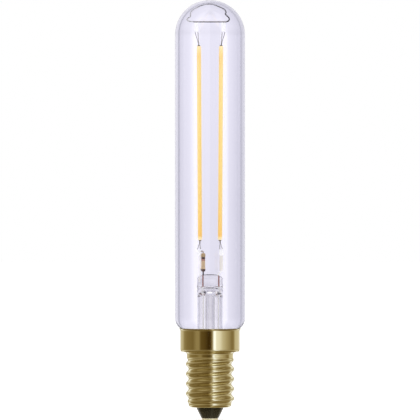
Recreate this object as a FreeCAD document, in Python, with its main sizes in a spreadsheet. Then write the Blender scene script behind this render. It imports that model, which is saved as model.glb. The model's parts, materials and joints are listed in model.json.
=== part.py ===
"""Tubular filament bulb with a small screw cap, in millimetres.

The bulb stands upright on its axis, +Z up, with the origin at the underside of the centre contact.
X runs across the two filaments. The stem, cap and glass share the axis.
"""
import FreeCAD, Part
import math
import os

import Sketcher

V = FreeCAD.Vector
UP = V(0, 0, 1)
ORIGIN = V(0, 0, 0)

# Driving dimensions: alias, value, meaning. Heights add up from the centre contact at the bottom.
SIZES = (
    ("overall_length", 120.0, "centre contact to the top of the dome"),
    ("tube_diameter", 20.0, "outside of the glass"),
    ("glass_wall", 1.2, "wall of the tube and shoulder"),
    ("dome_wall", 0.9, "wall at the top of the dome"),
    ("contact_thickness", 0.5, "centre contact"),
    ("contact_clearance", 0.2, "contact's edge to the insulator's"),
    ("shank_diameter", 1.8, "tube of the centre contact"),
    ("shank_bore", 1.1, "hole of the centre contact"),
    ("solder_depth", 1.0, "solder in the centre contact"),
    ("insulator_cone", 3.1, "height of the cone between contact and shell"),
    ("insulator_taper", 1.35, "how much the cone draws in"),
    ("insulator_gap", 0.3, "cone to the shell's opening"),
    ("insulator_flange", 1.5, "thickness inside the shell"),
    ("insulator_clearance", 0.745, "flange to the shell's bore"),
    ("cap_wall", 0.3, "brass sheet"),
    ("lip_corner", 1.0, "rounded lower corner of the shell"),
    ("lip_width", 1.995, "turned-in lower edge, from the thread's root"),
    ("thread_major", 13.89, "over the crests"),
    ("thread_depth", 0.8, "crest to root"),
    ("thread_pitch", 2.822, "from crest to crest"),
    ("thread_length", 13.4, "threaded height"),
    ("thread_fade", 1.3, "height over which the thread rises at each end"),
    ("crest_rise", 10.0, "a crest on the +X side, above the thread's lower end"),
    ("cap_neck_inset", 0.295, "plain part above the thread, under the crests"),
    ("cap_neck_length", 1.4, "plain part above the thread"),
    ("cap_neck_fillet", 0.65, "hollow under the skirt"),
    ("skirt_overhang", 1.85, "skirt beyond the plain part"),
    ("skirt_height", 6.75, "cap skirt"),
    ("skirt_corner", 0.8, "rounded lower corner of the skirt"),
    ("rim_flare", 0.35, "how far the skirt's edge opens"),
    ("rim_height", 0.5, "height of the opened edge"),
    ("cement_depth", 1.25, "cement below the skirt's edge"),
    ("cement_width", 0.45, "cement between glass and skirt"),
    ("gather_clearance", 0.16, "shoulder's lower end to the skirt"),
    ("gather_depth", 0.32, "shoulder's lower end below the skirt's edge"),
    ("shoulder_drop", 3.27, "height of the round shoulder"),
    ("seal_clearance", 2.1, "glass above the skirt's floor"),
    ("seal_width", 1.3, "height of the fused ring"),
    ("seal_edge", 0.3, "thickness of the flare's rim"),
    ("stem_diameter", 7.2, "flare tube"),
    ("stem_wall", 0.8, "wall of the flare tube"),
    ("flare_length", 7.0, "opening part of the flare tube"),
    ("stem_straight", 6.5, "straight part of the flare tube"),
    ("pinch_length", 3.7, "where round turns flat"),
    ("press_length", 3.0, "flat press"),
    ("press_widening", 0.2, "press beyond the flare tube"),
    ("press_thickness", 2.7, "front to back"),
    ("press_melt", 0.45, "melted upper edge of the press"),
    ("cavity_roof", 0.5, "top of the hollow below the press"),
    ("exhaust_diameter", 2.75, "exhaust tube"),
    ("exhaust_bore", 1.0, "bore of the exhaust tube"),
    ("exhaust_seat", 0.6, "exhaust tube's end below the top of the hollow"),
    ("exhaust_reach", 3.9, "exhaust tube below the glass"),
    ("tip_seal", 1.6, "solid glass at the sealed end"),
    ("exhaust_hole", 0.8, "side hole into the bulb"),
    ("exhaust_hole_rise", 0.55, "side hole above the hollow"),
    ("lead_diameter", 0.43, "inner leads and outer leads"),
    ("dumet_diameter", 0.4, "sealing wires in the press"),
    ("dumet_cover", 0.4, "weld to the inner lead, below the press top"),
    ("dumet_reach", 0.3, "weld to the outer lead, below the hollow's top"),
    ("support_inset", 0.83, "support wire from the press's edge"),
    ("support_seat", 2.3, "support wire in the press"),
    ("right_lead_inset", 1.2, "right lead from the flare tube's outside"),
    ("resistor_diameter", 1.3, "left resistor"),
    ("resistor_length", 5.3, "left resistor"),
    ("resistor_stand", 0.7, "left resistor above the press"),
    ("resistor_clearance", 0.055, "left resistor to the support wire"),
    ("resistor_lead_rise", 0.5, "turn of the upper lead above the resistor"),
    ("rod_diameter", 0.92, "right ceramic resistor"),
    ("rod_length", 4.2, "right ceramic resistor"),
    ("rod_stand", 1.05, "right resistor above the press"),
    ("rod_lead", 0.2, "right resistor to the tab"),
    ("bend_radius", 0.3, "bends of the short leads"),
    ("filament_diameter", 1.2, "phosphor coat"),
    ("substrate_width", 0.72, "carrier strip in the coat"),
    ("substrate_thickness", 0.3, "carrier strip in the coat"),
    ("substrate_overhang", 0.25, "bare end of the carrier strip"),
    ("chip_length", 1.3, "light-emitting chip"),
    ("chip_width", 0.45, "light-emitting chip"),
    ("chip_thickness", 0.12, "light-emitting chip"),
    ("chip_margin", 1.2, "first and last chip from the coat's ends"),
    ("tab_thickness", 0.2, "end tabs of the filaments"),
    ("tab_width", 1.1, "broad part of an end tab"),
    ("tab_neck", 0.42, "narrow part of an end tab"),
    ("top_tab_neck", 2.0, "length of the narrow part"),
    ("top_tab_taper", 1.8, "length of the tapered part"),
    ("top_tab_broad", 2.52, "length of the broad part"),
    ("top_tab_lean", 0.7, "how far the upper tab leans out"),
    ("base_tab_neck", 1.8, "length of the narrow part"),
    ("base_tab_taper", 0.8, "length of the tapered part"),
    ("base_tab_broad", 1.4, "length of the broad part"),
    ("base_tab_lean", 0.32, "how far the lower tab leans out"),
    ("bar_diameter", 0.46, "bridge wire"),
    ("bar_overhang", 0.85, "bridge wire beyond the middle of a tab"),
    ("loop_diameter", 0.4, "spring loop under the dome"),
    ("loop_clearance", 0.03, "spring loop to the glass at its top"),
    ("loop_end", 1.0, "straight ends of the loop, in line with the bridge wire"),
    ("board_stand", 1.0, "driver board above the insulator"),
    ("board_clearance", 0.645, "driver board to the shell's bore"),
    ("board_thickness", 0.8, "driver board"),
    ("tip_clearance", 1.2, "driver board to the exhaust tube"),
    ("capacitor_diameter", 4.8, "smoothing capacitor"),
    ("capacitor_offset", 0.9, "capacitor from the board's middle"),
    ("rectifier_width", 4.6, "bridge rectifier"),
    ("rectifier_depth", 1.5, "bridge rectifier"),
    ("chip_body_width", 4.8, "driver chip"),
    ("chip_body_height", 3.8, "driver chip"),
    ("chip_body_depth", 1.4, "driver chip"),
    ("fuse_diameter", 2.0, "fusible resistor"),
    ("component_gap", 0.6, "between components on the board"),
    ("shell_wire_inset", 0.7, "where the shell wire leaves the board, from its edge"),
    ("shell_wire_lift", 0.9, "shell wire above the skirt's floor"),
)

CHIP_COUNT = 16
# Short chords in a quarter turn of a rounded edge, levels in one pitch of the thread, sides of a bent wire:
# enough to read as round, and few enough to keep the part light
EDGE_CHORDS = 2
SHOULDER_CHORDS = 2
DOME_CHORDS = 3
FLARE_BANDS = 2
BEND_CHORDS = 2
THREAD_LEVELS = 5
WIRE_SIDES = 8
SHOULDER_TURN = math.radians(62)

# Top support, as shares of the spring loop's reach from the middle of the dome: across and up.
# The loop runs from the left end of the bridge wire, up under the dome and down to the right end.
BAR_ACROSS = 0.554
BAR_RISE = 0.391
LOOP_ROUTE = (
    (-0.788, 0.502),
    (-0.665, 0.671),
    (-0.637, 0.770),
    (-0.483, 0.852),
    (-0.292, 0.945),
    (-0.058, 0.992),
    (0.140, 0.969),
    (0.303, 0.899),
    (0.478, 0.817),
    (0.543, 0.723),
    (0.513, 0.642),
    (0.642, 0.543),
)

# Sizes that follow from the driving ones: alias, formula, meaning
FOLLOWING = (
    ("shell_bottom", "contact_thickness + insulator_cone", "lower face of the brass shell"),
    ("thread_bottom", "shell_bottom + lip_corner", "where the thread ends"),
    ("thread_top", "thread_bottom + thread_length", "where the thread starts under the skirt"),
    ("crest_height", "thread_bottom + crest_rise", "a crest on the +X side"),
    ("skirt_bottom", "thread_top + cap_neck_length", "lower face of the skirt"),
    ("skirt_top", "skirt_bottom + skirt_height", "upper edge of the skirt"),
    ("thread_minor", "thread_major - 2 * thread_depth", "over the roots"),
    ("shell_bore", "thread_minor - 2 * cap_wall", "inside of the threaded wall"),
    ("cap_neck_diameter", "thread_major - 2 * cap_neck_inset", "plain part above the thread"),
    ("skirt_diameter", "cap_neck_diameter + 2 * skirt_overhang", "cap skirt"),
    ("lip_diameter", "thread_minor - 2 * lip_width", "opening in the shell's lower face"),
    ("insulator_top_diameter", "lip_diameter - 2 * insulator_gap", "cone under the shell"),
    ("insulator_tip_diameter", "insulator_top_diameter - 2 * insulator_taper", "cone at the contact"),
    ("insulator_flange_diameter", "shell_bore - 2 * insulator_clearance", "part inside the shell"),
    ("insulator_top", "shell_bottom + cap_wall + insulator_flange", "upper face inside the shell"),
    ("contact_diameter", "insulator_tip_diameter - 2 * contact_clearance", "centre contact"),
    ("cement_top", "skirt_top - cement_depth", "upper face of the capping cement"),
    ("neck_diameter", "skirt_diameter - 2 * cap_wall - 2 * cement_width", "glass inside the cap skirt"),
    ("gather_diameter", "skirt_diameter - 2 * cap_wall - 2 * gather_clearance", "shoulder's lower end"),
    ("gather_height", "skirt_top - gather_depth", "shoulder's lower end"),
    ("seal_height", "skirt_bottom + seal_clearance", "lower end of the glass, where flare and neck meet"),
    ("flare_height", "seal_height + flare_length", "where the flare tube starts to open"),
    ("pinch_height", "flare_height + stem_straight", "where the flare tube starts to flatten"),
    ("press_height", "pinch_height + pinch_length", "underside of the flat press"),
    ("press_top", "press_height + press_length", "top of the press"),
    ("press_width", "stem_diameter + press_widening", "across the lead wires"),
    ("cavity_top", "press_height - cavity_roof", "closed end of the hollow in the stem"),
    ("exhaust_top", "cavity_top - exhaust_seat", "where the exhaust tube joins the press"),
    ("exhaust_tip", "seal_height - exhaust_reach", "sealed end of the exhaust tube"),
    ("exhaust_hole_height", "cavity_top + exhaust_hole_rise", "centre of the side hole"),
    ("dumet_top", "press_top - dumet_cover", "weld to the inner lead"),
    ("dumet_bottom", "cavity_top - dumet_reach", "weld to the outer lead"),
    ("support_offset", "press_width / 2 - support_inset", "support wire beside the left resistor"),
    ("support_foot", "press_top - support_seat", "lower end of the support wire in the press"),
    ("left_lead_offset", "support_offset - lead_diameter / 2 - resistor_clearance - resistor_diameter / 2",
     "left lead from the axis"),
    ("right_lead_offset", "stem_diameter / 2 - right_lead_inset", "right lead from the axis"),
    ("resistor_base", "press_top + resistor_stand", "lower end of the left resistor"),
    ("resistor_lead_bend", "resistor_base + resistor_length + resistor_lead_rise", "lead that turns to the tab"),
    ("rod_base", "press_top + rod_stand", "lower end of the right resistor"),
    ("rod_offset", "support_offset + base_tab_lean", "right resistor from the axis"),
    ("base_tab_foot", "rod_base + rod_length + rod_lead", "lower end of the base tabs"),
    ("substrate_base", "base_tab_foot + base_tab_broad + base_tab_taper + base_tab_neck", "foot of the carrier"),
    ("filament_base", "substrate_base + substrate_overhang", "lower end of the coat"),
    ("inner_radius", "tube_diameter / 2 - glass_wall", "inside of the tube"),
    ("dome_base", "overall_length - dome_wall - inner_radius", "middle of the dome's inside"),
    ("loop_reach", "inner_radius - loop_clearance - loop_diameter / 2", "spring loop from the dome's middle"),
    ("bar_height", "dome_base + loop_reach * %g" % BAR_RISE, "bridge wire between the filaments"),
    ("bar_half_length", "loop_reach * %g" % BAR_ACROSS, "bridge wire, to each side"),
    ("top_tab_top", "bar_height - bar_diameter / 2", "upper end of the top tabs"),
    ("substrate_top", "top_tab_top - top_tab_broad - top_tab_taper - top_tab_neck", "head of the carrier"),
    ("filament_top", "substrate_top - substrate_overhang", "upper end of the coat"),
    ("filament_top_offset", "bar_half_length - bar_overhang - top_tab_lean", "filament from the axis, at its top"),
    ("board_width", "shell_bore - 2 * board_clearance", "driver board"),
    ("board_bottom", "insulator_top + board_stand", "lower edge of the board"),
    ("board_top", "exhaust_tip - tip_clearance", "upper edge of the board"),
    ("capacitor_length", "board_top - board_bottom - 4 * component_gap", "smoothing capacitor"),
    ("fuse_length", "board_top - board_bottom - 2 * component_gap - chip_body_height", "fusible resistor"),
    ("rectifier_height", "fuse_length - 2 * component_gap", "bridge rectifier"),
    ("shell_wire_offset", "board_width / 2 - shell_wire_inset", "where the shell wire leaves the board"),
    ("shell_wire_rise", "skirt_bottom + shell_wire_lift", "height at which the shell wire turns out"),
)

doc = FreeCAD.newDocument("tubular_bulb")
sheet = doc.addObject("Spreadsheet::Sheet", "Sizes")
pieces = []


class Dim:
    """A length worked out from the sheet: its number, and the expression that gives it."""

    def __init__(self, value, text):
        self.value = value
        self.text = text

    def __float__(self):
        return self.value

    def __neg__(self):
        return Dim(-self.value, "(-%s)" % self.text)

    def __add__(self, other):
        other = as_dim(other)
        return Dim(self.value + other.value, "(%s + %s)" % (self.text, other.text))

    def __sub__(self, other):
        other = as_dim(other)
        return Dim(self.value - other.value, "(%s - %s)" % (self.text, other.text))

    def __mul__(self, other):
        other = as_dim(other)
        return Dim(self.value * other.value, "(%s * %s)" % (self.text, other.text))

    def __truediv__(self, other):
        other = as_dim(other)
        return Dim(self.value / other.value, "(%s / %s)" % (self.text, other.text))


def as_dim(value):
    if isinstance(value, Dim):
        return value
    return Dim(float(value), "%.9g" % float(value))


def root(value):
    return Dim(math.sqrt(value.value), "sqrt(%s)" % value.text)


def fill_sheet():
    rows = [(alias, str(value), meaning) for alias, value, meaning in SIZES]
    rows += [(alias, "=" + formula, meaning) for alias, formula, meaning in FOLLOWING]
    for row, (alias, content, meaning) in enumerate(rows, start=1):
        sheet.set("A%d" % row, meaning)
        sheet.set("B%d" % row, content)
        sheet.setAlias("B%d" % row, alias)
    doc.recompute()


def size(alias):
    return Dim(float(sheet.get(alias)), "Sizes.%s" % alias)


def bind(item, **values):
    """Tie properties to the sheet; two underscores stand for a dot."""
    for name, value in values.items():
        item.setExpression(name.replace("__", "."), as_dim(value).text)


def place(item, x=0, y=0, z=0):
    bind(item, Placement__Base__x=x, Placement__Base__y=y, Placement__Base__z=z)


def piece(item, label):
    item.Label = label
    pieces.append(item)
    return item


def origin_feature(body, role):
    return next(item for item in body.Origin.OriginFeatures if item.Role == role)


def arc_centre(start, end, radius, side):
    """Centre of the short arc between two points, left (+1) or right (-1) of the way from start to end."""
    chord = end - start
    middle = (start + end) * 0.5
    left = V(-chord.y, chord.x, 0).normalize()
    reach = math.sqrt(max(radius * radius - chord.Length * chord.Length / 4, 0.0))
    return middle + left * (side * reach)


def add_side(sketch, start, end, bend):
    """One side of an outline; returns its index and which of its ends come first and last."""
    if bend is None:
        return sketch.addGeometry(Part.LineSegment(start, end)), 1, 2
    radius, side = bend
    centre = arc_centre(start, end, float(radius), side)
    circle = Part.Circle(centre, UP, float(radius))
    first = math.atan2(start.y - centre.y, start.x - centre.x)
    last = math.atan2(end.y - centre.y, end.x - centre.x)
    if side > 0:
        return sketch.addGeometry(Part.ArcOfCircle(circle, first, last)), 1, 2
    return sketch.addGeometry(Part.ArcOfCircle(circle, last, first)), 2, 1


def lock(sketch, kind, index, end, value, name):
    """Hold one coordinate of a corner at a size from the sheet."""
    value = as_dim(value)
    if abs(value.value) < 1e-9:
        axis = -2 if kind == "DistanceX" else -1
        sketch.addConstraint(Sketcher.Constraint("PointOnObject", index, end, axis))
        return
    number = sketch.addConstraint(Sketcher.Constraint(kind, index, end, value.value))
    sketch.renameConstraint(number, name)
    sketch.setExpression("Constraints.%s" % name, value.text)


def rounded(x, z, radius, first, last):
    """Points on a round edge about (x, z), between two angles in degrees, joined by short chords."""
    steps = max(2, round(abs(last - first) / 90 * EDGE_CHORDS))
    points = []
    for step in range(steps + 1):
        angle = math.radians(first + (last - first) * step / steps)
        points.append((as_dim(x) + radius * math.cos(angle), as_dim(z) + radius * math.sin(angle)))
    return points


def hollow_quarter(x, z, radius, steps):
    """Corners of straight bands laid outside a quarter circle about (x, z), from its side up to its top."""
    half = math.pi / 4 / steps
    reach = radius / math.cos(half)
    points = []
    for step in range(steps):
        angle = half * (2 * step + 1)
        points.append((as_dim(x) + reach * math.cos(angle), as_dim(z) + reach * math.sin(angle)))
    return points


def outline_sketch(body, name, corners):
    """A closed outline in the XZ plane: each corner is (x, z) or (x, z, (radius, side)) for an arc onwards."""
    sketch = body.newObject("Sketcher::SketchObject", name)
    sketch.AttachmentSupport = (origin_feature(body, "XZ_Plane"), [""])
    sketch.MapMode = "FlatFace"
    points = [V(float(corner[0]), float(corner[1]), 0) for corner in corners]
    sides = []
    for number, corner in enumerate(corners):
        bend = corner[2] if len(corner) > 2 else None
        following = points[(number + 1) % len(points)]
        sides.append(add_side(sketch, points[number], following, bend))
    for number, (index, first, last) in enumerate(sides):
        following = sides[(number + 1) % len(sides)]
        sketch.addConstraint(Sketcher.Constraint("Coincident", index, last, following[0], following[1]))
    for number, (index, first, last) in enumerate(sides):
        lock(sketch, "DistanceX", index, first, corners[number][0], "across_%d" % number)
        lock(sketch, "DistanceY", index, first, corners[number][1], "height_%d" % number)
        if len(corners[number]) > 2:
            radius = corners[number][2][0]
            held = sketch.addConstraint(Sketcher.Constraint("Radius", index, radius.value))
            sketch.renameConstraint(held, "bend_%d" % number)
            sketch.setExpression("Constraints.bend_%d" % number, radius.text)
    return sketch


def turned(name, corners):
    """A body turned about the Z axis from its outline."""
    body = doc.addObject("PartDesign::Body", name)
    sketch = outline_sketch(body, name + "_outline", corners)
    doc.recompute()
    turn = body.newObject("PartDesign::Revolution", name + "_turn")
    turn.Profile = sketch
    turn.ReferenceAxis = (sketch, ["V_Axis"])
    turn.Angle = 360
    sketch.Visibility = False
    return body


def flat(name, corners, thickness):
    """A flat body cut from sheet, its middle plane at y = 0."""
    body = doc.addObject("PartDesign::Body", name)
    sketch = outline_sketch(body, name + "_outline", corners)
    doc.recompute()
    pad = body.newObject("PartDesign::Pad", name + "_pad")
    pad.Profile = sketch
    pad.Midplane = True
    bind(pad, Length=thickness)
    return body


def cylinder(name, diameter, bottom, top, x=0, y=0):
    item = doc.addObject("Part::Cylinder", name)
    bind(item, Radius=diameter / 2, Height=as_dim(top) - bottom)
    place(item, x, y, bottom)
    return item


def box(name, x, y, z, across, depth, height):
    """A box from its lowest corner."""
    item = doc.addObject("Part::Box", name)
    bind(item, Length=across, Width=depth, Height=height)
    place(item, x, y, z)
    return item


def ring_wire(name, across, depth, x, z):
    """A circle or ellipse lying level, for a loft."""
    item = doc.addObject("Part::Ellipse", name)
    bind(item, MajorRadius=across / 2, MinorRadius=depth / 2)
    place(item, x, 0, z)
    return item


def loft(name, sections, ruled=False):
    item = doc.addObject("Part::Loft", name)
    item.Sections = sections
    item.Solid = True
    item.Ruled = ruled
    return item


def fused(name, shapes):
    item = doc.addObject("Part::MultiFuse", name)
    item.Shapes = shapes
    return item


def cut(name, base, tool):
    item = doc.addObject("Part::Cut", name)
    item.Base = base
    item.Tool = tool
    return item


def mirrored(name, source):
    """The same piece on the other side of the bulb."""
    item = doc.addObject("Part::Mirroring", name)
    item.Source = source
    item.Base = ORIGIN
    item.Normal = V(1, 0, 0)
    return item


def eased_path(points, bend):
    """Corners of a path with each bend cut into short chords; bend None makes each as wide as its runs allow."""
    path = [points[0]]
    for before, corner, after in zip(points[:-2], points[1:-1], points[2:]):
        inward = (corner - before).normalize()
        onward = (after - corner).normalize()
        half_turn = inward.getAngle(onward) / 2
        shorter = min((corner - before).Length, (after - corner).Length)
        radius = bend if bend else 0.45 * shorter / math.tan(half_turn)
        centre = corner + (onward - inward).normalize() * (radius / math.cos(half_turn))
        chord = half_turn / BEND_CHORDS
        arm = (corner - centre).normalize() * (radius / math.cos(chord))
        for step in range(BEND_CHORDS):
            turn = math.degrees((2 * step + 1) * chord - half_turn)
            path.append(centre + FreeCAD.Rotation(inward.cross(onward), turn).multVec(arm))
    path.append(points[-1])
    return path


def bent_wire(name, points, diameter, bend=None):
    """A thin wire along points in the XZ plane."""
    path = eased_path([V(float(x), 0, float(z)) for x, z in points], float(bend) if bend else None)
    along = (path[1] - path[0]).normalize()
    across = V(0, 1, 0).cross(along)
    section = []
    for side in range(WIRE_SIDES):
        angle = 2 * math.pi * (side + 0.5) / WIRE_SIDES
        section.append(path[0] + (V(0, math.cos(angle), 0) + across * math.sin(angle)) * (float(diameter) / 2))
    item = doc.addObject("Part::Feature", name)
    item.Shape = Part.makePolygon(path).makePipeShell([Part.makePolygon(section + section[:1])], True, False, 1)
    return item


# Glass envelope: tube, dome, shoulder and neck in one blown piece
def shoulder_point(share, depth):
    """A point on the round shoulder: share 0 is at the tube and 1 in the skirt; depth is into the wall."""
    turn = SHOULDER_TURN * share
    gather = size("gather_diameter") / 2
    drawn_in = (math.cos(turn) - math.cos(SHOULDER_TURN)) / (1 - math.cos(SHOULDER_TURN))
    fallen = math.sin(turn) / math.sin(SHOULDER_TURN)
    x = gather + (size("tube_diameter") / 2 - gather) * drawn_in
    z = size("gather_height") + size("shoulder_drop") * (1 - fallen)
    return x - depth * math.cos(turn), z + depth * math.sin(turn)


def make_envelope():
    outer = size("tube_diameter") / 2
    wall = size("glass_wall")
    top = size("overall_length")
    neck = size("neck_diameter") / 2
    neck_height = size("cement_top")
    foot = size("seal_height")
    corners = [(0, top, (outer, -1)), (outer, top - outer)]
    corners += [shoulder_point(step / SHOULDER_CHORDS, 0) for step in range(SHOULDER_CHORDS + 1)]
    corners += [(neck, neck_height), (neck, foot), (neck - wall, foot), (neck - wall, neck_height)]
    corners += [shoulder_point(1, wall), shoulder_point(0, wall)]
    corners += hollow_quarter(0, size("dome_base"), size("inner_radius"), DOME_CHORDS)
    corners.append((0, top - size("dome_wall")))
    piece(turned("Envelope", corners), "glass_envelope")


# Stem: flare tube fused to the neck, pinched flat above into the press
def flared(x, z, rim, foot):
    """Points between the straight tube and the rim: the opening goes with the square of the way down."""
    points = []
    for step in range(1, FLARE_BANDS):
        share = step / FLARE_BANDS
        points.append((x + (rim - x) * share ** 2, z + (foot - z) * share))
    return points


def flare_tube():
    outer = size("stem_diameter") / 2
    inner = outer - size("stem_wall")
    rim = size("neck_diameter") / 2 - size("glass_wall")
    edge = rim - size("seal_edge")
    foot = size("seal_height")
    seal = foot + size("seal_width")
    start = size("flare_height")
    pinch = size("pinch_height")
    corners = [(outer, pinch), (outer, start)]
    corners += flared(outer, start, rim, seal)
    corners += [(rim, seal), (rim, foot), (edge, foot)]
    corners += reversed(flared(inner, start, edge, foot))
    corners += [(inner, start), (inner, pinch)]
    return turned("Flare", corners)


def pinched(name, foot_width, top_width, foot_depth, top_depth, foot, top):
    """A block that narrows upwards, in both directions, between two levels."""
    item = doc.addObject("Part::Wedge", name)
    bind(item, Xmin=-foot_width / 2, Xmax=foot_width / 2, X2min=-top_width / 2, X2max=top_width / 2)
    bind(item, Zmin=-foot_depth / 2, Zmax=foot_depth / 2, Z2min=-top_depth / 2, Z2max=top_depth / 2)
    bind(item, Ymin=0, Ymax=top - foot)
    item.Placement = FreeCAD.Placement(ORIGIN, FreeCAD.Rotation(V(1, 0, 0), 90))
    place(item, 0, 0, foot)
    return item


def common(name, first, second):
    item = doc.addObject("Part::MultiCommon", name)
    item.Shapes = [first, second]
    return item


def press():
    """The flare tube's round end, squeezed between two flats into the press."""
    width = size("press_width")
    thickness = size("press_thickness")
    round_width = size("stem_diameter")
    pinch = size("pinch_height")
    low = size("press_height")
    top = size("press_top")
    melt = size("press_melt")
    taper = pinched("PinchFlats", width, width, round_width, thickness, pinch, low)
    shoulder = doc.addObject("Part::Cone", "PinchRound")
    bind(shoulder, Radius1=round_width / 2, Radius2=width / 2, Height=low - pinch)
    place(shoulder, 0, 0, pinch)
    flats = box("PressFlats", -width / 2, -thickness / 2, low, width, thickness, top - melt - low)
    melted = pinched("PressEdge", width, width - melt * 2, thickness, thickness - melt * 2, top - melt, top)
    block = fused("PressBlock", [flats, melted])
    ends = cylinder("PressRound", width, low, top)
    return [common("Pinch", taper, shoulder), common("Press", block, ends)]


def stem_cavity():
    bore = size("stem_diameter") - size("stem_wall") * 2
    pinch = size("pinch_height")
    top = size("cavity_top")
    flats = pinched("CavityFlats", bore, bore * 3 / 4, bore, bore / 8, pinch, top)
    return common("Cavity", flats, cylinder("CavityRound", bore, pinch, top))


def make_stem(sealed_wires, exhaust_tube):
    bore = size("exhaust_bore")
    hole = size("exhaust_hole")
    hole_height = size("exhaust_hole_height")
    riser = cylinder("ExhaustRiser", bore, size("exhaust_top"), hole_height)
    side_hole = cylinder("ExhaustSideHole", hole, 0, size("press_thickness"))
    side_hole.Placement = FreeCAD.Placement(ORIGIN, FreeCAD.Rotation(V(1, 0, 0), 90))
    place(side_hole, 0, 0, hole_height)
    glass = fused("StemGlass", [flare_tube()] + press())
    space = fused("StemSpace", [stem_cavity(), riser, side_hole, exhaust_tube] + sealed_wires)
    piece(cut("Stem", glass, space), "flare_stem")


def make_exhaust_tube():
    outer = size("exhaust_diameter") / 2
    bore = size("exhaust_bore") / 2
    top = size("exhaust_top")
    tip = size("exhaust_tip")
    closed = tip + size("tip_seal")
    corners = (
        (0, tip),
        (outer / 2, tip),
        (outer, tip + outer / 2),
        (outer, top),
        (bore, top),
        (bore, closed),
        (0, closed),
    )
    return piece(turned("ExhaustTube", corners), "exhaust_tube")


# Wires through the press: outer lead, sealing wire and inner lead on each side
def make_sealing_wire(side, x):
    """The sealing wire in the glass and the lead that runs from it down to the board."""
    name = side.capitalize()
    seal = cylinder(name + "Dumet", size("dumet_diameter"), size("dumet_bottom"), size("dumet_top"), x)
    lead = cylinder(name + "OuterLead", size("lead_diameter"), size("board_top"), size("dumet_bottom"), x)
    piece(lead, side + "_outer_lead")
    return piece(seal, side + "_dumet_wire"), lead


def make_left_leg():
    """Support wire, and the resistor beside it with its two leads."""
    wire = size("lead_diameter")
    x = -size("left_lead_offset")
    base = size("resistor_base")
    top = base + size("resistor_length")
    support = cylinder("SupportWire", wire, size("support_foot"), size("base_tab_foot"), -size("support_offset"))
    piece(support, "left_support_wire")
    piece(cylinder("LeftResistor", size("resistor_diameter"), base, top, x), "left_resistor")
    lower = piece(cylinder("LeftLowerLead", wire, size("dumet_top"), base, x), "left_resistor_lower_lead")
    turn = size("resistor_lead_bend")
    upper = bent_wire("LeftUpperLead", ((x, top), (x, turn), (-base_tab_edge(), turn)), wire, size("bend_radius"))
    piece(upper, "left_resistor_upper_lead")
    return [support, lower]


def make_right_leg():
    """The pale ceramic resistor and its two leads."""
    wire = size("lead_diameter")
    x = size("right_lead_offset")
    out = size("rod_offset")
    base = size("rod_base")
    top = base + size("rod_length")
    jog = base - size("press_top")
    route = (
        (x, size("dumet_top")),
        (x, size("press_top") + jog * 0.2),
        (out, base - jog * 0.35),
        (out, base),
    )
    lower = piece(bent_wire("RightLowerLead", route, wire), "right_resistor_lower_lead")
    piece(cylinder("RightResistor", size("rod_diameter"), base, top, out), "right_resistor")
    piece(cylinder("RightUpperLead", wire, top, size("base_tab_foot"), out), "right_resistor_upper_lead")
    return [lower]


# Filaments: carrier strip, chips, phosphor coat and end tabs; the left one mirrors the right
def filament_offset(height):
    """Distance of the filament's middle from the axis at a height."""
    low = size("filament_base")
    share = (as_dim(height) - low) / (size("filament_top") - low)
    return size("support_offset") + (size("filament_top_offset") - size("support_offset")) * share


def base_tab_edge():
    """The edge of a base tab that faces the axis."""
    return filament_offset(size("substrate_base")) + size("base_tab_lean") - size("tab_width") / 2


def make_substrate():
    half = size("substrate_width") / 2
    low = size("substrate_base")
    high = size("substrate_top")
    x_low = filament_offset(low)
    x_high = filament_offset(high)
    corners = ((x_low - half, low), (x_low + half, low), (x_high + half, high), (x_high - half, high))
    return flat("Substrate", corners, size("substrate_thickness"))


def make_chips():
    first = size("filament_base") + size("chip_margin")
    last = size("filament_top") - size("chip_margin") - size("chip_length")
    step = (last - first) / (CHIP_COUNT - 1)
    face = -size("substrate_thickness") / 2
    width = size("chip_width")
    chips = []
    for number in range(CHIP_COUNT):
        z = first + step * number
        x = filament_offset(z + size("chip_length") / 2) - width / 2
        y = face - size("chip_thickness")
        chips.append(box("Chip%d" % number, x, y, z, width, size("chip_thickness"), size("chip_length")))
    row = doc.addObject("Part::Compound", "ChipRow")
    row.Links = chips
    return row


def make_coat(substrate, chips):
    low = size("filament_base")
    high = size("filament_top")
    across = size("filament_diameter")
    sections = [ring_wire("CoatEnd%d" % number, across, across, filament_offset(z), z)
                for number, z in enumerate((low, high))]
    rod = loft("CoatRod", sections, ruled=True)
    return cut("Coat", rod, fused("CoatSpace", [substrate, chips]))


def make_tab(name, x, z, way, lean, lengths):
    """An end tab from the carrier strip outwards: neck, taper and broad part; way is +1 up or -1 down."""
    neck = size("tab_neck") / 2
    broad = size("tab_width") / 2
    z_neck = z + lengths[0] * way
    z_taper = z_neck + lengths[1] * way
    z_end = z_taper + lengths[2] * way
    x_neck = x + lean / 2
    x_end = x + lean
    corners = [
        (x - neck, z),
        (x + neck, z),
        (x_neck + neck, z_neck),
        (x_end + broad, z_taper),
        (x_end + broad, z_end),
        (x_end - broad, z_end),
        (x_end - broad, z_taper),
        (x_neck - neck, z_neck),
    ]
    return flat(name, corners, size("tab_thickness"))


def make_filaments():
    substrate = make_substrate()
    chips = make_chips()
    low = size("substrate_base")
    high = size("substrate_top")
    upper = (size("top_tab_neck"), size("top_tab_taper"), size("top_tab_broad"))
    lower = (size("base_tab_neck"), size("base_tab_taper"), size("base_tab_broad"))
    right = {
        "filament_coat": make_coat(substrate, chips),
        "filament_substrate": substrate,
        "filament_chips": chips,
        "top_tab": make_tab("TopTab", filament_offset(high), high, 1, size("top_tab_lean"), upper),
        "base_tab": make_tab("BaseTab", filament_offset(low), low, -1, size("base_tab_lean"), lower),
    }
    for name, item in right.items():
        piece(item, "right_" + name)
        piece(mirrored("Left" + item.Name, item), "left_" + name)


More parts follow.
